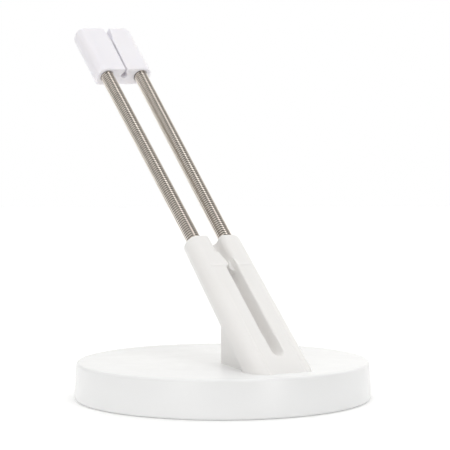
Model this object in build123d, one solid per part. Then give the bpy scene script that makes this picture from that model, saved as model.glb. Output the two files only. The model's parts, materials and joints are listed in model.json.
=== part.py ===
from build123d import *
import math
import os

# A weighted desk stand that holds a cable in the air: a round base, a leaning post with a
# cable groove, two close-wound springs and a soft split clip at their top.
# Millimetres. +Z is up, +X is the way the springs lean, +Y is the left side.
# The origin is the middle of the underside, where the non-slip ring meets the desk.

# ---- driving dimensions -------------------------------------------------------------
base_radius = 50.0            # at the bottom edge of the cover
base_top_radius = 49.2        # the side drafts in towards the top
base_height = 12.4            # desk to the top face
base_edge_round = 1.1         # rounding of the top edge
cover_lift = 0.3              # gap between the cover and the desk
cover_top_wall = 2.4
cover_side_wall = 3.6

plate_seat_radius = 47.3      # pocket that the bottom plate drops into
plate_clearance = 0.2
plate_thickness = 2.0
plate_underside = 1.0         # height of the bottom plate's lower face
ring_outer = 46.3             # non-slip ring
ring_inner = 34.0
ring_recess = 0.5             # how far the ring is let into the bottom plate
weight_radius = 44.6
weight_thickness = 4.8

plate_screw_circle = 21.0     # radius of the circle of the four plate screws
boss_radius = 3.4
plate_screw_length = 7.5
post_screw_places = (-25.0, -12.0)
post_screw_reach = (4.6, 9.0)      # thread above the cover for each post screw
screw_radius = 1.25
screw_head_radius = 2.5
post_screw_head = 1.6         # height of a post screw's head
plate_screw_head = 0.75       # height of a plate screw's head, sunk in its counterbore
counterbore_depth = 0.8
cross_length = 2.4            # cross recess in each screw head
cross_width = 0.6

lean = 47.3                   # degrees from vertical
axis_foot_x = -35.1           # where the springs' mid line meets the base's top face
collar_end = 58.2             # along the lean, from that foot point
spring_exit = 148.3           # lower end of the clip
clip_end = 175.1              # upper end of the clip

# the post's section at its foot and at its collar: half width, depth to the front and to the
# back of the springs' plane, and the corner rounding on those two sides
foot_section = (11.35, 4.3, 4.1, 3.0, 4.9)
collar_section = (10.55, 4.15, 3.95, 3.65, 3.9)
collar_chamfer = 0.7
buried = 9.0                  # how far below the foot point the post starts before it is trimmed
buttress_back = -29.5         # the wedge under the overhang: its ends along X and half widths there
buttress_back_half = 8.84
buttress_front = -6.4
buttress_front_half = 4.6

spring_radius = 2.5
spring_bore = 1.55            # inside radius of the coil
spring_foot_y = 5.73          # half the spacing of the spring axes at the foot point
spring_spread = 0.0105        # each spring leans outwards by this much per millimetre
spring_bottom = 31.0          # lower end of the coils, inside the post
spring_top = 167.0            # upper end of the coils, inside the clip
joint_stations = (66.5, 85.0, 121.0, 139.5)
joint_gap = 1.2               # room for one length of coil to turn on the next
fit_gap = 0.05                # radial fit of the coils in the post and in the clip
loose_gap = 0.1               # radial fit of the right coil's end in the clip
pin_gap = 0.03                # radial fit of the pins inside the coils
pin_length = 16.0             # of the pins in the coils' upper ends
anchor_length = 20.0          # of the pins in the coils' lower ends
anchor_head = 2.85

groove_width = 4.3            # cable groove up the back of the post
groove_floor = -1.8           # lowest line of its round floor, from the springs' plane
groove_start = 12.5           # where the floor starts to rise towards the foot
groove_run_out = 11.0         # radius of that rise
groove_edge = 0.7             # rounding of the groove's edges
collar_edge = 2.3             # the same between the two collars
nub_place = 44.3              # the two cable-keeping nubs
nub_gap = 1.6
nub_tip = 0.7                 # length of the flat at a nub's tip
nub_rise = 5.2                # length of the long slope above it
nub_drop = 1.4                # and of the short one below
nub_floor = 1.4               # the nubs start this far above the springs' plane
ledge_reach = 7.4             # half width of the low step across the post at the nubs
ledge_length = 4.4
ledge_height = 0.2

clip_bottom_half = 11.75      # half width of the clip at its lower end
clip_top_half = 12.0
clip_front = 4.2              # depth to the front and to the back of the springs' plane
clip_back = 3.4
clip_front_round = 2.8
clip_back_round = 3.3
clip_corner_round = 2.0       # outer top corners
clip_skew = 5.0               # degrees that the soft clip's ends sit out of square
slit_half = 0.4               # half width of the slit at its lower end
slit_mouth_half = 1.75         # and at the top
slit_drift = -0.9             # the slit's top sits this far to the right of the middle
slit_opens = 9.0              # length over which the slit goes right through
channel_radius = 1.3          # round cable channel at the bottom of the slit
channel_depth = 0.3           # its axis, above the springs' plane

far = 300.0                   # larger than the stand, for trimming blocks
lean_rad = math.radians(lean)
along = Vector(math.sin(lean_rad), 0, math.cos(lean_rad))
foot_point = Vector(axis_foot_x, 0, base_height)
plate_top = plate_underside + plate_thickness
ceiling = base_height - cover_top_wall
# local x is +Y of the stand, local y points to the back of the post, local z runs up the lean
post_plane = Plane(origin=foot_point, x_dir=(0, 1, 0), z_dir=along)
# local x runs up the lean, local y is +Y of the stand, local z points to the back of the post
back_plane = Plane(origin=foot_point, x_dir=along, z_dir=post_plane.y_dir)


def cylinder_between(radius, low, high, x=0.0, y=0.0):
    """An upright cylinder from one height to another."""
    return Pos(x, y, low) * Cylinder(radius, high - low, align=(Align.CENTER, Align.CENTER, Align.MIN))


# ---- base -----------------------------------------------------------------------------
def plate_screw_centres():
    places = []
    for quarter in range(4):
        angle = math.radians(45 + 90 * quarter)
        places.append((plate_screw_circle * math.cos(angle), plate_screw_circle * math.sin(angle)))
    return places


def base_cover():
    """The white shell: top face, drafted side, screw bosses inside."""
    profile = Polygon((0, cover_lift), (base_radius, cover_lift), (base_top_radius, base_height),
                      (0, base_height), align=None)
    rim = profile.vertices().sort_by(lambda v: v.X + v.Y)[-1]
    profile = fillet(rim, base_edge_round)
    shell = revolve(Plane.XZ * profile, Axis.Z)
    shell -= cylinder_between(plate_seat_radius, cover_lift - 1, plate_top)
    shell -= cylinder_between(base_top_radius - cover_side_wall, plate_top, ceiling)
    for x, y in plate_screw_centres():
        shell += cylinder_between(boss_radius, plate_top, ceiling, x, y)
        shell -= cylinder_between(screw_radius, plate_top, ceiling - 0.5, x, y)
    for x in post_screw_places:
        shell -= cylinder_between(screw_radius + 0.2, ceiling - 1, base_height + 1, x)
    return shell


def weight_plate():
    """Steel ballast disc, bored to clear the bosses."""
    low = plate_top + 0.1
    disc = cylinder_between(weight_radius, low, low + weight_thickness)
    disc = chamfer(disc.edges(), 0.5)
    for x, y in plate_screw_centres():
        disc -= cylinder_between(boss_radius + 0.5, low - 1, low + weight_thickness + 1, x, y)
    return disc


def base_plate():
    """Bottom plate with a ring-shaped recess for the non-slip ring."""
    plate = cylinder_between(plate_seat_radius - plate_clearance, plate_underside, plate_top)
    recess = cylinder_between(ring_outer + 0.1, plate_underside - 1, plate_underside + ring_recess)
    recess -= cylinder_between(ring_inner - 0.1, plate_underside - 2, plate_top)
    plate -= recess
    for x, y in plate_screw_centres():
        plate -= cylinder_between(screw_radius + 0.15, plate_underside - 1, plate_top + 1, x, y)
        plate -= cylinder_between(screw_head_radius + 0.3, plate_underside - 1,
                                  plate_underside + counterbore_depth, x, y)
    return plate


def non_slip_ring():
    """Flat rubber ring that the stand rests on."""
    top = plate_underside + ring_recess
    ring = cylinder_between(ring_outer, 0, top) - cylinder_between(ring_inner, -1, top + 1)
    return chamfer(ring.edges().group_by(Axis.Z)[0], 0.3)


def screw(x, y, seat, head_height, radius, length):
    """A cross-recess screw that points up, with its head under the seat height."""
    body = cylinder_between(screw_head_radius, seat - head_height, seat, x, y)
    body = fillet(body.edges().group_by(Axis.Z)[0], 0.35 * head_height)
    body += cylinder_between(radius, seat, seat + length, x, y)
    body = chamfer(body.edges().group_by(Axis.Z)[-1], 0.5)
    for turn in (0, 90):
        slot = Box(cross_length, cross_width, 0.6 * head_height,
                   align=(Align.CENTER, Align.CENTER, Align.MIN))
        body -= Pos(x, y, seat - head_height) * Rot(0, 0, turn) * slot
    return body


def base_plate_screws():
    """Four screws up through the bottom plate into the cover's bosses."""
    seat = plate_underside + counterbore_depth
    screws = []
    for x, y in plate_screw_centres():
        screws.append(screw(x, y, seat, plate_screw_head, screw_radius - 0.05, plate_screw_length))
    return Compound(screws)


def post_screws():
    """Two screws up through the cover into the post."""
    screws = []
    for x, reach in zip(post_screw_places, post_screw_reach):
        screws.append(screw(x, 0, ceiling, post_screw_head, screw_radius, cover_top_wall + reach))
    return Compound(screws)


# ---- post -----------------------------------------------------------------------------
def post_section(place):
    """Rounded section of the post, square to the lean, at a distance along it."""
    share = place / collar_end
    values = [low + (high - low) * share for low, high in zip(foot_section, collar_section)]
    half_width, front, back, front_round, back_round = values
    outline = Polygon((-half_width, -front), (half_width, -front), (half_width, back), (-half_width, back),
                      align=None)
    outline = fillet(outline.vertices().group_by(Axis.Y)[0], front_round)
    outline = fillet(outline.vertices().group_by(Axis.Y)[-1], back_round)
    return post_plane * Pos(0, 0, place) * outline


def spring_axis(side):
    """Frame at the foot of one spring: local z runs up its axis. side is 1 left, -1 right."""
    direction = along + Vector(0, side * spring_spread, 0)
    origin = foot_point + Vector(0, side * spring_foot_y, 0)
    return Plane(origin=origin, x_dir=(0, 1, 0), z_dir=direction)


def rod_on_spring(side, radius, low, high):
    """A rod on one spring's axis, between two distances up it."""
    rod = Cylinder(radius, high - low, align=(Align.CENTER, Align.CENTER, Align.MIN))
    return spring_axis(side) * Pos(0, 0, low) * rod


def buttress():
    """Upright wedge that carries the overhang, narrower towards its front edge."""
    plan = Polygon((buttress_back, -buttress_back_half), (buttress_front, -buttress_front_half),
                   (buttress_front, buttress_front_half), (buttress_back, buttress_back_half), align=None)
    block = Pos(0, 0, base_height) * extrude(plan, 40)
    under_axis = post_plane * Pos(0, 0, 30) * Box(60, 60, 120, align=(Align.CENTER, Align.MAX, Align.CENTER))
    return block & under_axis


def groove_section(edge, back):
    """Section of the groove: round floor, straight walls and edges rounded outwards."""
    half = groove_width / 2
    mouth = back + 5
    middle = groove_floor + half
    diagonal = edge * (1 - math.sqrt(0.5))
    right_edge = ThreePointArc((half, back - edge), (half + diagonal, back - diagonal), (half + edge, back))
    left_edge = ThreePointArc((-half - edge, back), (-half - diagonal, back - diagonal), (-half, back - edge))
    top = Polyline((half + edge, back), (half + edge, mouth), (-half - edge, mouth), (-half - edge, back))
    left_wall = Line((-half, back - edge), (-half, middle))
    floor = ThreePointArc((-half, middle), (0, groove_floor), (half, middle))
    right_wall = Line((half, middle), (half, back - edge))
    return make_face([right_edge, top, left_edge, left_wall, floor, right_wall])


def cable_groove():
    """Open channel up the back, which rises out of the post towards the foot."""
    low = groove_section(groove_edge, foot_section[2])
    high = groove_section(collar_edge, collar_section[2] + 0.05)
    channel = extrude(post_plane * Pos(0, 0, groove_start) * low, collar_end + 5 - groove_start)
    channel += extrude(post_plane * Pos(0, 0, nub_place) * high, collar_end + 5 - nub_place)
    # the run-out turns about a line across the post, above the groove
    pivot = foot_point + along * groove_start + post_plane.y_dir * (groove_floor + groove_run_out)
    run_out = revolve(post_plane * Pos(0, 0, groove_start) * low, Axis(pivot, (0, 1, 0)), 85)
    return channel + run_out


def nubs():
    """Two teeth that narrow the groove's mouth, with a long lead-in from above."""
    teeth = []
    half = groove_width / 2
    for side in (1, -1):
        tip = side * nub_gap / 2
        wall = side * (half + 0.2)
        root = side * (half + collar_edge)
        low = nub_place - nub_tip / 2
        high = nub_place + nub_tip / 2
        tooth = Polygon((low - nub_drop, root), (low - nub_drop, wall), (low, tip), (high, tip),
                        (high + nub_rise, wall), (high + nub_rise, root), align=None)
        top = collar_section[2] - nub_floor
        teeth.append(extrude(back_plane * Pos(0, 0, nub_floor) * tooth, top))
    return teeth


def ledges():
    """Low steps across the back, one beside each nub: full height below, nothing above."""
    steps = []
    inner = groove_width / 2 + 0.1
    width = ledge_reach - inner
    rise = ledge_height + 0.7
    for side in (1, -1):
        step = Wedge(ledge_length, rise, width, 0, 0, 0, width, align=(Align.MIN, Align.MIN, Align.CENTER))
        side_plane = Plane(origin=foot_point, x_dir=along, z_dir=(0, -1, 0))
        low = collar_section[2] + 0.04 - 0.7
        steps.append(side_plane * Pos(nub_place - 1.1, low, -side * (inner + width / 2)) * step)
    return steps


def post():
    """Leaning twin-tube moulding with its foot, buttress, groove and two spring bores."""
    body = loft([post_section(-buried), post_section(collar_end)])
    rim = body.faces().sort_by(Axis((0, 0, 0), along))[-1].edges()
    body = chamfer(rim, collar_chamfer)
    body += buttress()
    body -= Pos(0, 0, base_height) * Box(far, far, far, align=(Align.CENTER, Align.CENTER, Align.MAX))
    body -= cable_groove()
    for addition in nubs() + ledges():
        body += addition
    for side in (1, -1):
        bore_floor = spring_bottom - anchor_head - 0.15
        body -= rod_on_spring(side, spring_radius + fit_gap, bore_floor, collar_end + 6)
    for x, reach in zip(post_screw_places, post_screw_reach):
        body -= cylinder_between(screw_radius + 0.02, base_height - 1, base_height + reach + 0.4, x)
    return body


def spring_anchor(side):
    """Headed pin that fills the coil's lower end at the bottom of its bore."""
    seat = spring_bottom - 0.05
    head = rod_on_spring(side, spring_radius - 0.1, seat - anchor_head, seat)
    return head + rod_on_spring(side, spring_bore - pin_gap, seat - 0.5, spring_bottom + anchor_length)


# ---- springs --------------------------------------------------------------------------
def spring_length(side, number):
    """One of the five lengths of a coil, between the places where it bends."""
    ends = (spring_bottom, *joint_stations, spring_top)
    low = ends[number] + (joint_gap / 2 if number > 0 else 0)
    high = ends[number + 1] - (joint_gap / 2 if number < 4 else 0)
    coil = rod_on_spring(side, spring_radius, low, high)
    return coil - rod_on_spring(side, spring_bore, low - 1, high + 1)


# ---- clip -----------------------------------------------------------------------------
def clip_section(place, half_width):
    """Rounded section of the clip, square to the lean, at a distance along it."""
    outline = Polygon((-half_width, -clip_front), (half_width, -clip_front), (half_width, clip_back),
                      (-half_width, clip_back), align=None)
    outline = fillet(outline.vertices().group_by(Axis.Y)[0], clip_front_round)
    outline = fillet(outline.vertices().group_by(Axis.Y)[-1], clip_back_round)
    return post_plane * Pos(0, 0, place) * outline


def clip():
    """Soft split block on top of both springs, with a slit and a round cable channel."""
    spare = 4.0
    bottom = clip_section(spring_exit - spare, clip_bottom_half)
    top = clip_section(clip_end + spare, clip_top_half)
    block = loft([bottom, top])
    # seen from the back: square sides, ends a little out of square, outer top corners rounded
    drop = math.tan(math.radians(clip_skew)) * clip_top_half
    half = clip_top_half + 1
    front_view = Polygon((spring_exit - drop, half), (spring_exit + drop, -half), (clip_end + drop, -half),
                         (clip_end - drop, half), align=None)
    block &= extrude(back_plane * Pos(0, 0, -far / 10) * front_view, far / 5)
    tips = block.faces().sort_by(Axis((0, 0, 0), along))[-1].edges()
    tips = tips.filter_by(lambda e: abs(e.center().Y) > clip_top_half - 0.3)
    block = fillet(tips, clip_corner_round)
    # the slit widens towards the top and is open right through for its last stretch
    low = spring_exit - 2
    mouth = clip_end + 2
    throat = clip_end - slit_opens
    bend = slit_drift / 2
    slit = Polygon((low, -slit_half), (throat, bend - slit_half), (mouth, slit_drift - slit_mouth_half),
                   (mouth, slit_drift + slit_mouth_half), (throat, bend + slit_half), (low, slit_half),
                   align=None)
    block -= extrude(back_plane * Pos(0, 0, channel_depth) * slit, 10)
    through = slit & Pos(throat, 0) * Rectangle(far, far, align=(Align.MIN, Align.CENTER))
    block -= extrude(back_plane * Pos(0, 0, -far / 10) * through, far / 5)
    block -= post_plane * Pos(0, channel_depth, spring_exit + 10) * Cylinder(channel_radius, 60)
    for side in (1, -1):
        gap = fit_gap if side > 0 else loose_gap
        block -= rod_on_spring(side, spring_radius + gap, spring_exit - 5, spring_top + 0.8)
    return block


def clip_pin(side):
    """Short pin inside the coil's upper end, so the clip can't crush it."""
    return rod_on_spring(side, spring_bore - pin_gap, spring_top - pin_length, spring_top)


parts = {
    "base_cover": base_cover(),
    "weight_plate": weight_plate(),
    "base_plate": base_plate(),
    "base_plate_screws": base_plate_screws(),
    "non_slip_ring": non_slip_ring(),
    "post": post(),
    "post_screws": post_screws(),
    "clip": clip(),
}
for side_name, side in (("left", 1), ("right", -1)):
    parts["spring_anchor_" + side_name] = spring_anchor(side)
    parts["clip_pin_" + side_name] = clip_pin(side)
    for number in range(5):
        parts[f"spring_{side_name}_{number + 1}"] = spring_length(side, number)

os.makedirs("parts", exist_ok=True)
for name, shape in parts.items():
    export_step(shape, f"parts/{name}.step")
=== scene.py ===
import bmesh
import bpy
import math
from mathutils import Matrix, Vector
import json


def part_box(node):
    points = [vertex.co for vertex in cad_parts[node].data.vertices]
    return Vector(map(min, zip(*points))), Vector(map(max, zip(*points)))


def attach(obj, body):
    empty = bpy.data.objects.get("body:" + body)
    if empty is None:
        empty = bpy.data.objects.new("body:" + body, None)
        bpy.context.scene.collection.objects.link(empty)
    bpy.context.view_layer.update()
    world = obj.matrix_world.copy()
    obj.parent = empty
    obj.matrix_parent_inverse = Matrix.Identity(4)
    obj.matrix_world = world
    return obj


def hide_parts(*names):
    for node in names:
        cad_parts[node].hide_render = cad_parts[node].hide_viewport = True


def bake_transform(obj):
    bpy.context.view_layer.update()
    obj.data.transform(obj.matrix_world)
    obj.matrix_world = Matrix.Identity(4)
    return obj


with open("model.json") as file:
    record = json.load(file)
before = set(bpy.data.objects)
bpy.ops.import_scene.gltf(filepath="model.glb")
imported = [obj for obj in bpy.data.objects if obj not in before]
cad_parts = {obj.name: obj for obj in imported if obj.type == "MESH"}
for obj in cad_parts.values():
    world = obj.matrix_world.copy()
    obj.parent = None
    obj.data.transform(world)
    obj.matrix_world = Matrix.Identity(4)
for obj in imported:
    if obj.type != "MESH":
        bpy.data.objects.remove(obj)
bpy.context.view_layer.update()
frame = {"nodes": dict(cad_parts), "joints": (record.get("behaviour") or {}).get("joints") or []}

# A white cable holder stand on a plain pale floor. Metres, +Z up, +X the way the springs lean.

MM = 0.001

# ---- the stand's own lines, worked out from the frame -----------------------------------
cover_low, cover_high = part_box("base_cover")
ring_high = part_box("non_slip_ring")[1]
BASE_RADIUS = cover_high.x
BASE_TOP = cover_high.z
joints = {joint["name"]: joint for joint in frame["joints"]}


def joint_place(name):
    return Vector(joints[name]["pos_m"])


# the four hinges on each spring, from the lowest up, give its axis and where it bends
HINGES = {
    "left": ("fore_aft_bend", "sideways_sway", "sway_left_high", "bend_left_high"),
    "right": ("bend_right_low", "sway_right_low", "sway_right_high", "bend_right_high"),
}
SPRING_RADIUS = 2.5 * MM
COIL_PITCH = 0.96 * MM
WIRE_RADIUS = 0.435 * MM
COIL_END_CUT = 4 * MM               # in from the CAD boxes' corners, which lie past the tubes' ends

COVER_TAPER = 0.8 * MM              # taken off the cover's radius at its top
COVER_DROP = 0.22 * MM              # how far its rim reaches below the CAD edge
PLATE_SEAT_RADIUS = 47.3 * MM       # the pocket under the cover that takes the bottom plate
PLATE_SEAT_TOP = 3.0 * MM
HOLLOW_RADIUS = 45.6 * MM           # the hollow above it that takes the ballast
HOLLOW_TOP = 10.0 * MM
RING_INNER_RADIUS = 34.0 * MM

POST_SUNK = 0.5 * MM                # how far the post's foot is let into the cover
FOOT_BAND = 0.05 * MM               # points this close to the cover's top belong to the foot
POST_VOXEL = 0.22 * MM
CLIP_VOXEL = 0.2 * MM
POST_SMOOTHING = 4
CLIP_SMOOTHING = 6
ON_AXIS = 1e-7                      # an outline point nearer the axis than this is one vertex


# ---- materials ---------------------------------------------------------------------------
def fill_ramp(node, stops):
    """Puts (position, colour) stops on a colour ramp node."""
    elements = node.color_ramp.elements
    while len(elements) < len(stops):
        elements.new(0.5)
    for element, (position, colour) in zip(elements, stops):
        element.position = position
        element.color = (*colour, 1)


class Paint:
    """A principled material with a few helpers for its procedural nodes."""

    def __init__(self, name):
        self.material = bpy.data.materials.new(name)
        self.material.use_nodes = True
        self.tree = self.material.node_tree
        self.shader = self.tree.nodes["Principled BSDF"]
        self.place = self.tree.nodes.new("ShaderNodeTexCoord").outputs["Object"]

    def set(self, **values):
        for key, value in values.items():
            self.shader.inputs[key.replace("_", " ")].default_value = value

    def link(self, source, target):
        self.tree.links.new(source, target)

    def noise(self, scale, detail=4.0, roughness=0.55, stretch=(1, 1, 1)):
        mapping = self.tree.nodes.new("ShaderNodeMapping")
        mapping.inputs["Scale"].default_value = stretch
        texture = self.tree.nodes.new("ShaderNodeTexNoise")
        texture.inputs["Scale"].default_value = scale
        texture.inputs["Detail"].default_value = detail
        texture.inputs["Roughness"].default_value = roughness
        self.link(self.place, mapping.inputs["Vector"])
        self.link(mapping.outputs["Vector"], texture.inputs["Vector"])
        return texture.outputs["Fac"]

    def ramp(self, source, stops):
        node = self.tree.nodes.new("ShaderNodeValToRGB")
        fill_ramp(node, stops)
        self.link(source, node.inputs["Fac"])
        return node.outputs["Color"]

    def spread(self, source, low, high):
        node = self.tree.nodes.new("ShaderNodeMapRange")
        node.inputs["To Min"].default_value = low
        node.inputs["To Max"].default_value = high
        self.link(source, node.inputs["Value"])
        return node.outputs["Result"]

    def colour(self, output):
        self.link(output, self.shader.inputs["Base Color"])

    def roughness(self, output):
        self.link(output, self.shader.inputs["Roughness"])

    def bump(self, height, distance, strength=1.0, onto=None):
        node = self.tree.nodes.new("ShaderNodeBump")
        node.inputs["Distance"].default_value = distance
        node.inputs["Strength"].default_value = strength
        self.link(height, node.inputs["Height"])
        if onto is not None:
            self.link(onto, node.inputs["Normal"])
        return node.outputs["Normal"]

    def normal(self, output):
        self.link(output, self.shader.inputs["Normal"])


def grey(value, warmth=0.0):
    """A grey, with a little more red and less blue where warmth is above zero."""
    return (value + warmth, value, value - warmth)


def white_plastic(name, tone, warmth, roughness, grain_scale, grain_depth):
    """Moulded white plastic: faint flow marks in its colour, fine spark-eroded grain."""
    paint = Paint(name)
    flow = paint.noise(26, 3, 0.5, (1, 1, 2.5))
    darker, lighter = grey(tone - 0.012, warmth), grey(tone + 0.006, warmth)
    paint.colour(paint.ramp(flow, ((0.3, darker), (0.7, lighter))))
    cloud = paint.noise(90, 5, 0.6)
    paint.roughness(paint.spread(cloud, roughness - 0.05, roughness + 0.05))
    grain = paint.noise(grain_scale, 2, 0.5)
    swell = paint.noise(160, 2, 0.4)
    soft = paint.bump(swell, 0.00002, 0.6)
    paint.normal(paint.bump(grain, grain_depth, 0.5, soft))
    paint.set(IOR=1.5)
    return paint.material


def cover_paint():
    return white_plastic("cover_white", tone=0.875, warmth=-0.004, roughness=0.24,
                         grain_scale=2600, grain_depth=0.000012)


def post_paint():
    return white_plastic("post_white", tone=0.862, warmth=0.012, roughness=0.42,
                         grain_scale=3200, grain_depth=0.00002)


def plate_paint():
    return white_plastic("plate_white", tone=0.74, warmth=0.004, roughness=0.5,
                         grain_scale=2200, grain_depth=0.00003)


def clip_paint():
    """Soft silicone rubber: a cool white that light enters a little."""
    paint = Paint("clip_silicone")
    cloud = paint.noise(70, 4, 0.5)
    paint.colour(paint.ramp(cloud, ((0.3, (0.90, 0.882, 0.938)), (0.7, (0.92, 0.902, 0.957)))))
    dust = paint.noise(240, 6, 0.65)
    paint.roughness(paint.spread(dust, 0.42, 0.58))
    grain = paint.noise(900, 2, 0.5)
    paint.normal(paint.bump(grain, 0.000006, 0.4))
    paint.set(Subsurface_Weight=0.4, Subsurface_Radius=(1.0, 0.96, 0.9), Subsurface_Scale=0.001, IOR=1.42)
    return paint.material


def drawn_wire(name, dull, bright, smoothest, roughest):
    """Spring wire with a warm nickel tint and faint drawing marks."""
    paint = Paint(name)
    stain = paint.noise(420, 5, 0.6)
    paint.colour(paint.ramp(stain, ((0.25, dull), (0.75, bright))))
    marks = paint.noise(1500, 4, 0.6)
    paint.roughness(paint.spread(marks, smoothest, roughest))
    paint.normal(paint.bump(marks, 0.000006, 0.5))
    paint.set(Metallic=1.0)
    return paint.material


def wire_paint():
    return drawn_wire("spring_wire", (0.74, 0.68, 0.62), (0.88, 0.82, 0.75), 0.08, 0.18)


def shaded_gap_wire_paint():
    """The same wire, darkened as painted shade that stands for the shadow where the turns nearly touch.
    """
    return drawn_wire("spring_wire_painted_shade", (0.15, 0.125, 0.10), (0.24, 0.205, 0.165), 0.25, 0.4)


def plain_steel_paint(name, tone, brush_scale):
    """Plain or zinc-plated steel with fine rolling marks."""
    paint = Paint(name)
    marks = paint.noise(brush_scale, 5, 0.6, (1, 12, 1))
    paint.colour(paint.ramp(marks, ((0.3, grey(tone - 0.05)), (0.7, grey(tone + 0.05)))))
    paint.roughness(paint.spread(marks, 0.28, 0.45))
    paint.normal(paint.bump(marks, 0.00001, 0.5))
    paint.set(Metallic=1.0)
    return paint.material


def ring_paint():
    """Matt black rubber with a slight bloom."""
    paint = Paint("ring_rubber")
    bloom = paint.noise(60, 6, 0.65)
    paint.colour(paint.ramp(bloom, ((0.3, (0.022, 0.022, 0.023)), (0.75, (0.045, 0.045, 0.046)))))
    paint.roughness(paint.spread(bloom, 0.7, 0.9))
    paint.normal(paint.bump(paint.noise(1800, 3, 0.6), 0.00003, 0.6))
    return paint.material


# ---- mesh helpers -------------------------------------------------------------------------
def mesh_object(name, vertices, faces, material, smooth=True):
    mesh = bpy.data.meshes.new(name)
    mesh.from_pydata([tuple(v) for v in vertices], [], faces)
    mesh.validate()
    mesh.polygons.foreach_set("use_smooth", [smooth] * len(mesh.polygons))
    piece = bpy.data.objects.new(name, mesh)
    piece.data.materials.append(material)
    bpy.context.scene.collection.objects.link(piece)
    return piece


def rounded(points, steps=8):
    """Turns a list of (r, z, rounding radius) corners into a smooth closed outline."""
    outline = []
    count = len(points)
    for index, (r, z, radius) in enumerate(points):
        here = Vector((r, z))
        if radius <= 0:
            outline.append(here)
            continue
        before = Vector(points[index - 1][:2])
        after = Vector(points[(index + 1) % count][:2])
        one, two = (before - here).normalized(), (after - here).normalized()
        half = math.acos(max(-1, min(1, one.dot(two)))) / 2
        centre = here + (one + two).normalized() * radius / math.sin(half)
        start = here + one * radius / math.tan(half)
        end = here + two * radius / math.tan(half)
        first, last = start - centre, end - centre
        turn = first.angle_signed(last)
        for step in range(steps + 1):
            angle = -turn * step / steps
            arm = Vector((first.x * math.cos(angle) - first.y * math.sin(angle),
                          first.x * math.sin(angle) + first.y * math.cos(angle)))
            outline.append(centre + arm)
    return outline


def lathe(name, points, material, segments=192, steps=8):
    """A closed solid of revolution about the Z axis from an outline of (r, z, rounding)."""
    outline = rounded(points, steps)
    vertices, faces, rings = [], [], []
    for r, z in outline:
        if r < ON_AXIS:
            rings.append([len(vertices)] * segments)
            vertices.append((0, 0, z))
            continue
        rings.append([len(vertices) + step for step in range(segments)])
        for step in range(segments):
            angle = 2 * math.pi * step / segments
            vertices.append((r * math.cos(angle), r * math.sin(angle), z))
    count = len(outline)
    for index in range(count):
        low, high = rings[index], rings[(index + 1) % count]
        if low[0] == low[1] and high[0] == high[1]:
            continue
        for step in range(segments):
            other = (step + 1) % segments
            corners = [low[step], low[other], high[other], high[step]]
            unique = list(dict.fromkeys(corners))
            if len(unique) > 2:
                faces.append(unique)
    piece = mesh_object(name, vertices, faces, material)
    build = bmesh.new()
    build.from_mesh(piece.data)
    bmesh.ops.recalc_face_normals(build, faces=build.faces)
    build.to_mesh(piece.data)
    build.free()
    return piece


def soften(name, node, material, voxel, rounds, sunk=0.0):
    """A copy of a CAD node's shape with its sharp edges eased, as a mould leaves them.

    A piece that stands on the cover is sunk into it a little, so that its foot stays sharp.
    """
    source = frame["nodes"][node]
    piece = bpy.data.objects.new(name, source.data.copy())
    for vertex in piece.data.vertices:
        if sunk > 0 and vertex.co.z < BASE_TOP + FOOT_BAND:
            vertex.co.z -= sunk
    bpy.context.scene.collection.objects.link(piece)
    piece.data.materials.clear()
    piece.data.materials.append(material)
    remesh = piece.modifiers.new("remesh", "REMESH")
    remesh.mode = "VOXEL"
    remesh.voxel_size = voxel
    remesh.use_smooth_shade = True
    smooth = piece.modifiers.new("smooth", "CORRECTIVE_SMOOTH")
    smooth.factor = 0.5
    smooth.iterations = rounds
    smooth.smooth_type = "LENGTH_WEIGHTED"
    smooth.use_only_smooth = True
    graph = bpy.context.evaluated_depsgraph_get()
    final = bpy.data.meshes.new_from_object(piece.evaluated_get(graph))
    piece.modifiers.clear()
    piece.data = final
    final.polygons.foreach_set("use_smooth", [True] * len(final.polygons))
    return piece


# ---- pieces -------------------------------------------------------------------------------
def make_cover():
    rim = cover_low.z - COVER_DROP
    top_radius = BASE_RADIUS - COVER_TAPER
    # each corner is its radius, its height and its rounding
    outline = [
        (0, BASE_TOP, 0),
        (top_radius, BASE_TOP, 1.1 * MM),
        (BASE_RADIUS, rim, 0.9 * MM),
        (PLATE_SEAT_RADIUS, rim, 0.2 * MM),
        (PLATE_SEAT_RADIUS, PLATE_SEAT_TOP, 0),
        (HOLLOW_RADIUS, PLATE_SEAT_TOP, 0.3 * MM),
        (HOLLOW_RADIUS, HOLLOW_TOP, 0.6 * MM),
        (0, HOLLOW_TOP, 0),
    ]
    cover = lathe("cover_shell", outline, cover_paint(), 256)
    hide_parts("base_cover")
    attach(cover, "base")


def make_ring():
    top, outer, inner = ring_high.z, ring_high.x, RING_INNER_RADIUS
    foot_rounding, top_rounding = 0.35 * MM, 0.1 * MM
    outline = [
        (outer, 0, foot_rounding),
        (outer, top, top_rounding),
        (inner, top, top_rounding),
        (inner, 0, foot_rounding),
    ]
    ring = lathe("rubber_ring", outline, ring_paint(), 192, 4)
    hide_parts("non_slip_ring")
    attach(ring, "base")


def make_post():
    piece = soften("post_moulding", "post", post_paint(), POST_VOXEL, POST_SMOOTHING, sunk=POST_SUNK)
    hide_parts("post")
    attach(piece, "base")


def make_clip():
    piece = soften("clip_moulding", "clip", clip_paint(), CLIP_VOXEL, CLIP_SMOOTHING)
    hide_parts("clip")
    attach(piece, "clip")


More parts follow.
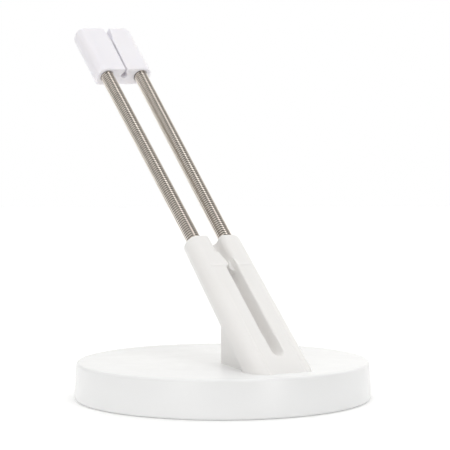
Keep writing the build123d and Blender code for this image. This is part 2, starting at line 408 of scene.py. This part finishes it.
def coil(name, origin, axis, low, high, wire, gap_shade, around=28, wire_sides=16):
    """A close-wound coil between two distances along its axis, with the turns counted from the origin.

    The wire's outer quarter is bright, and the rest takes a painted shade for the shadow where the turns
    nearly touch.
    """
    side = axis.cross(Vector((0, 0, 1))).normalized()
    up = side.cross(axis).normalized()
    mean = SPRING_RADIUS - WIRE_RADIUS
    first = round(low / COIL_PITCH * around)
    last = round(high / COIL_PITCH * around)
    vertices, faces = [], []
    for step in range(first, last + 1):
        angle = 2 * math.pi * step / around
        out = side * math.cos(angle) + up * math.sin(angle)
        centre = origin + axis * (COIL_PITCH * step / around) + out * mean
        for corner in range(wire_sides):
            turn = 2 * math.pi * corner / wire_sides
            vertices.append(centre + (out * math.cos(turn) + axis * math.sin(turn)) * WIRE_RADIUS)
    for step in range(last - first):
        for corner in range(wire_sides):
            other = (corner + 1) % wire_sides
            a, b = step * wire_sides, (step + 1) * wire_sides
            faces.append((a + corner, b + corner, b + other, a + other))
    faces.append(tuple(range(wire_sides)))
    end = (last - first) * wire_sides
    faces.append(tuple(reversed(range(end, end + wire_sides))))
    piece = mesh_object(name, vertices, faces, wire)
    piece.data.materials.append(gap_shade)
    # faces outside the outer quarter take the dark wire, painted shade for the shadow between turns
    eighth = wire_sides // 8
    shades = []
    for index in range(len(piece.data.polygons)):
        corner = index % wire_sides
        shades.append(0 if corner < eighth or corner >= wire_sides - eighth else 1)
    piece.data.polygons.foreach_set("material_index", shades)
    return piece


def make_springs():
    wire = wire_paint()
    # the second wire material is painted shade, for the shadow between the turns
    gap_shade = shaded_gap_wire_paint()
    for side in ("left", "right"):
        places = [joint_place(name) for name in HINGES[side]]
        origin = places[0]
        axis = (places[3] - origin).normalized()
        along = [(place - origin).dot(axis) for place in places]
        # the wire stops inside the post at one end and inside the clip at the other
        low_end = (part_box(f"spring_{side}_1")[0] - origin).dot(axis) + COIL_END_CUT
        high_end = (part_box(f"spring_{side}_5")[1] - origin).dot(axis) - COIL_END_CUT
        # the coil is cut midway between hinges, and bends evenly for a short way round each
        cuts = [low_end]
        for lower, upper in zip(along, along[1:]):
            cuts.append((lower + upper) / 2)
        cuts.append(high_end)
        for number in range(4):
            name = f"coil_{side}_{number + 1}"
            piece = coil(name, origin, axis, cuts[number], cuts[number + 1], wire, gap_shade)
            nodes = [f"spring_{side}_{number + 1}"]
            if number == 3:
                nodes.append(f"spring_{side}_5")
            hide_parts(*nodes)
            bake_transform(piece)


def paint_cad_nodes():
    """The pieces whose CAD shape is already right only take a material."""
    finishes = {
        "weight_plate": plain_steel_paint("ballast_zinc", 0.5, 180),
        "base_plate": plate_paint(),
        "base_plate_screws": plain_steel_paint("screw_zinc", 0.62, 900),
        "post_screws": plain_steel_paint("screw_zinc_long", 0.62, 900),
    }
    pin = plain_steel_paint("pin_steel", 0.55, 700)
    for side in ("left", "right"):
        finishes["spring_anchor_" + side] = pin
        finishes["clip_pin_" + side] = pin
    for node, material in finishes.items():
        piece = frame["nodes"][node]
        piece.data.materials.clear()
        piece.data.materials.append(material)


# ---- studio -------------------------------------------------------------------------------
CAMERA_BEARING = math.radians(149.5)     # round the stand from +X, behind it and to its left
CAMERA_DISTANCE = 471.6 * MM             # from the base's axis
CAMERA_HEIGHT = 71.2 * MM
CAMERA_TURN = math.radians(-0.10)        # aimed a touch beside the axis
CAMERA_DIP = math.radians(1.617)
CAMERA_ROLL = math.radians(-0.115)
CAMERA_LENS = 112.0

FLOOR_GLOW = 0.1
FLOOR_REACH = 4.0
FLOOR_FRONT = 170 * MM
CEILING = 1.15
CEILING_STARTS = 0.80                    # as the upward part of a direction, where 1 is overhead
CEILING_FULL = 0.95
# bearing in degrees and radiance of the studio's walls. 0 is behind the camera, positive is to
# the camera's right, and 180 is behind the stand: a grey wall on the left ending in a bright
# strip, dark behind the camera, then a brighter strip and a dark gap on the right
WALLS = (
    (-180, 0.95), (-150, 0.75), (-110, 0.34), (-60, 0.34), (-48, 0.4), (-38, 1.2), (-22, 1.8),
    (-12, 0.4), (-6, 0.03), (20, 0.03), (29, 0.9), (35, 2.8), (44, 2.8), (49, 0.3), (58, 0.05),
    (92, 0.05), (112, 0.8), (145, 1.2), (180, 0.95),
)
WALL_TINT = (1.0, 0.99, 0.965)


def make_camera():
    camera = bpy.data.objects.new("camera", bpy.data.cameras.new("camera"))
    camera.data.lens = CAMERA_LENS
    camera.data.sensor_width = 36.0
    camera.data.clip_start = 0.01
    camera.data.clip_end = 50
    place = Vector((math.cos(CAMERA_BEARING), math.sin(CAMERA_BEARING), 0)) * CAMERA_DISTANCE
    place.z = CAMERA_HEIGHT
    heading = CAMERA_BEARING + math.pi + CAMERA_TURN
    # an upright camera looks along -Z, so it is tipped up to the horizon, dipped, then turned
    spin = Matrix.Rotation(heading - math.pi / 2, 4, "Z")
    tip = Matrix.Rotation(math.pi / 2 - CAMERA_DIP, 4, "X")
    roll = Matrix.Rotation(CAMERA_ROLL, 4, "Z")
    camera.matrix_world = Matrix.Translation(place) @ spin @ tip @ roll
    bpy.context.scene.collection.objects.link(camera)
    bpy.context.scene.camera = camera


def make_floor():
    paint = Paint("floor_white")
    cloud = paint.noise(3, 2, 0.5)
    paint.colour(paint.ramp(cloud, ((0.3, grey(0.93)), (0.7, grey(0.94)))))
    paint.set(Roughness=0.9, Emission_Color=(1, 1, 1, 1), Emission_Strength=FLOOR_GLOW)
    # the sheet ends a short way in front of the base, so the coils reflect a darker room there
    corners = [
        (-FLOOR_REACH, -FLOOR_REACH, 0),
        (FLOOR_FRONT, -FLOOR_REACH, 0),
        (FLOOR_FRONT, FLOOR_REACH, 0),
        (-FLOOR_REACH, FLOOR_REACH, 0),
    ]
    floor = mesh_object("floor", corners, [(0, 1, 2, 3)], paint.material, smooth=False)
    floor.rotation_euler.z = CAMERA_BEARING


def make_world():
    """A studio that looks plain white, but lights and reflects as WALLS and CEILING say."""
    world = bpy.data.worlds.new("studio")
    world.use_nodes = True
    bpy.context.scene.world = world
    tree = world.node_tree
    nodes, links = tree.nodes, tree.links
    place = nodes.new("ShaderNodeTexCoord").outputs["Generated"]
    split = nodes.new("ShaderNodeSeparateXYZ")
    links.new(place, split.inputs["Vector"])
    # the bearing from the camera's side, as a share of a turn: 0 and 1 are behind the stand
    turned = nodes.new("ShaderNodeVectorRotate")
    turned.rotation_type = "Z_AXIS"
    turned.inputs["Angle"].default_value = -CAMERA_BEARING
    links.new(place, turned.inputs["Vector"])
    flat = nodes.new("ShaderNodeSeparateXYZ")
    links.new(turned.outputs["Vector"], flat.inputs["Vector"])
    bearing = nodes.new("ShaderNodeMath")
    bearing.operation = "ARCTAN2"
    links.new(flat.outputs["Y"], bearing.inputs[0])
    links.new(flat.outputs["X"], bearing.inputs[1])
    share = nodes.new("ShaderNodeMapRange")
    share.inputs["From Min"].default_value = -math.pi
    share.inputs["From Max"].default_value = math.pi
    links.new(bearing.outputs["Value"], share.inputs["Value"])
    walls = nodes.new("ShaderNodeValToRGB")
    stops = []
    for degrees, value in WALLS:
        stops.append((0.5 + degrees / 360, [value * tint for tint in WALL_TINT]))
    fill_ramp(walls, stops)
    links.new(share.outputs["Result"], walls.inputs["Fac"])
    height = nodes.new("ShaderNodeValToRGB")
    height.color_ramp.elements[0].position = CEILING_STARTS
    height.color_ramp.elements[1].position = CEILING_FULL
    links.new(split.outputs["Z"], height.inputs["Fac"])
    mix = nodes.new("ShaderNodeMixRGB")
    mix.inputs["Color2"].default_value = (CEILING, CEILING, CEILING, 1)
    links.new(height.outputs["Color"], mix.inputs["Fac"])
    links.new(walls.outputs["Color"], mix.inputs["Color1"])
    background = nodes["Background"]
    links.new(mix.outputs["Color"], background.inputs["Color"])
    seen = nodes.new("ShaderNodeBackground")
    seen.inputs["Color"].default_value = (1, 1, 1, 1)
    path = nodes.new("ShaderNodeLightPath")
    choose = nodes.new("ShaderNodeMixShader")
    links.new(path.outputs["Is Camera Ray"], choose.inputs["Fac"])
    links.new(background.outputs["Background"], choose.inputs[1])
    links.new(seen.outputs["Background"], choose.inputs[2])
    links.new(choose.outputs["Shader"], nodes["World Output"].inputs["Surface"])


def soft_light(name, bearing, elevation, spread, strength, colour=(1, 1, 1)):
    """A broad soft light in a direction from the stand, with the bearing taken as for WALLS.

    It isn't seen in reflections.
    """
    light = bpy.data.lights.new(name, "SUN")
    light.energy = strength
    light.angle = math.radians(spread)
    light.color = colour
    lamp = bpy.data.objects.new(name, light)
    turn, rise = math.radians(bearing) + CAMERA_BEARING, math.radians(elevation)
    towards = Vector((math.cos(turn) * math.cos(rise), math.sin(turn) * math.cos(rise), math.sin(rise)))
    lamp.rotation_mode = "QUATERNION"
    lamp.rotation_quaternion = towards.to_track_quat("Z", "Y")
    lamp.visible_glossy = False
    bpy.context.scene.collection.objects.link(lamp)


make_camera()
make_floor()
make_world()
soft_light("overhead", bearing=150, elevation=82, spread=110, strength=0.86, colour=(0.975, 0.985, 1.0))
soft_light("fill", bearing=-72, elevation=20, spread=80, strength=0.26, colour=(1.0, 0.99, 0.975))
make_cover()
make_ring()
make_post()
make_clip()
make_springs()
paint_cad_nodes()

bpy.context.scene.view_settings.view_transform = "Standard"
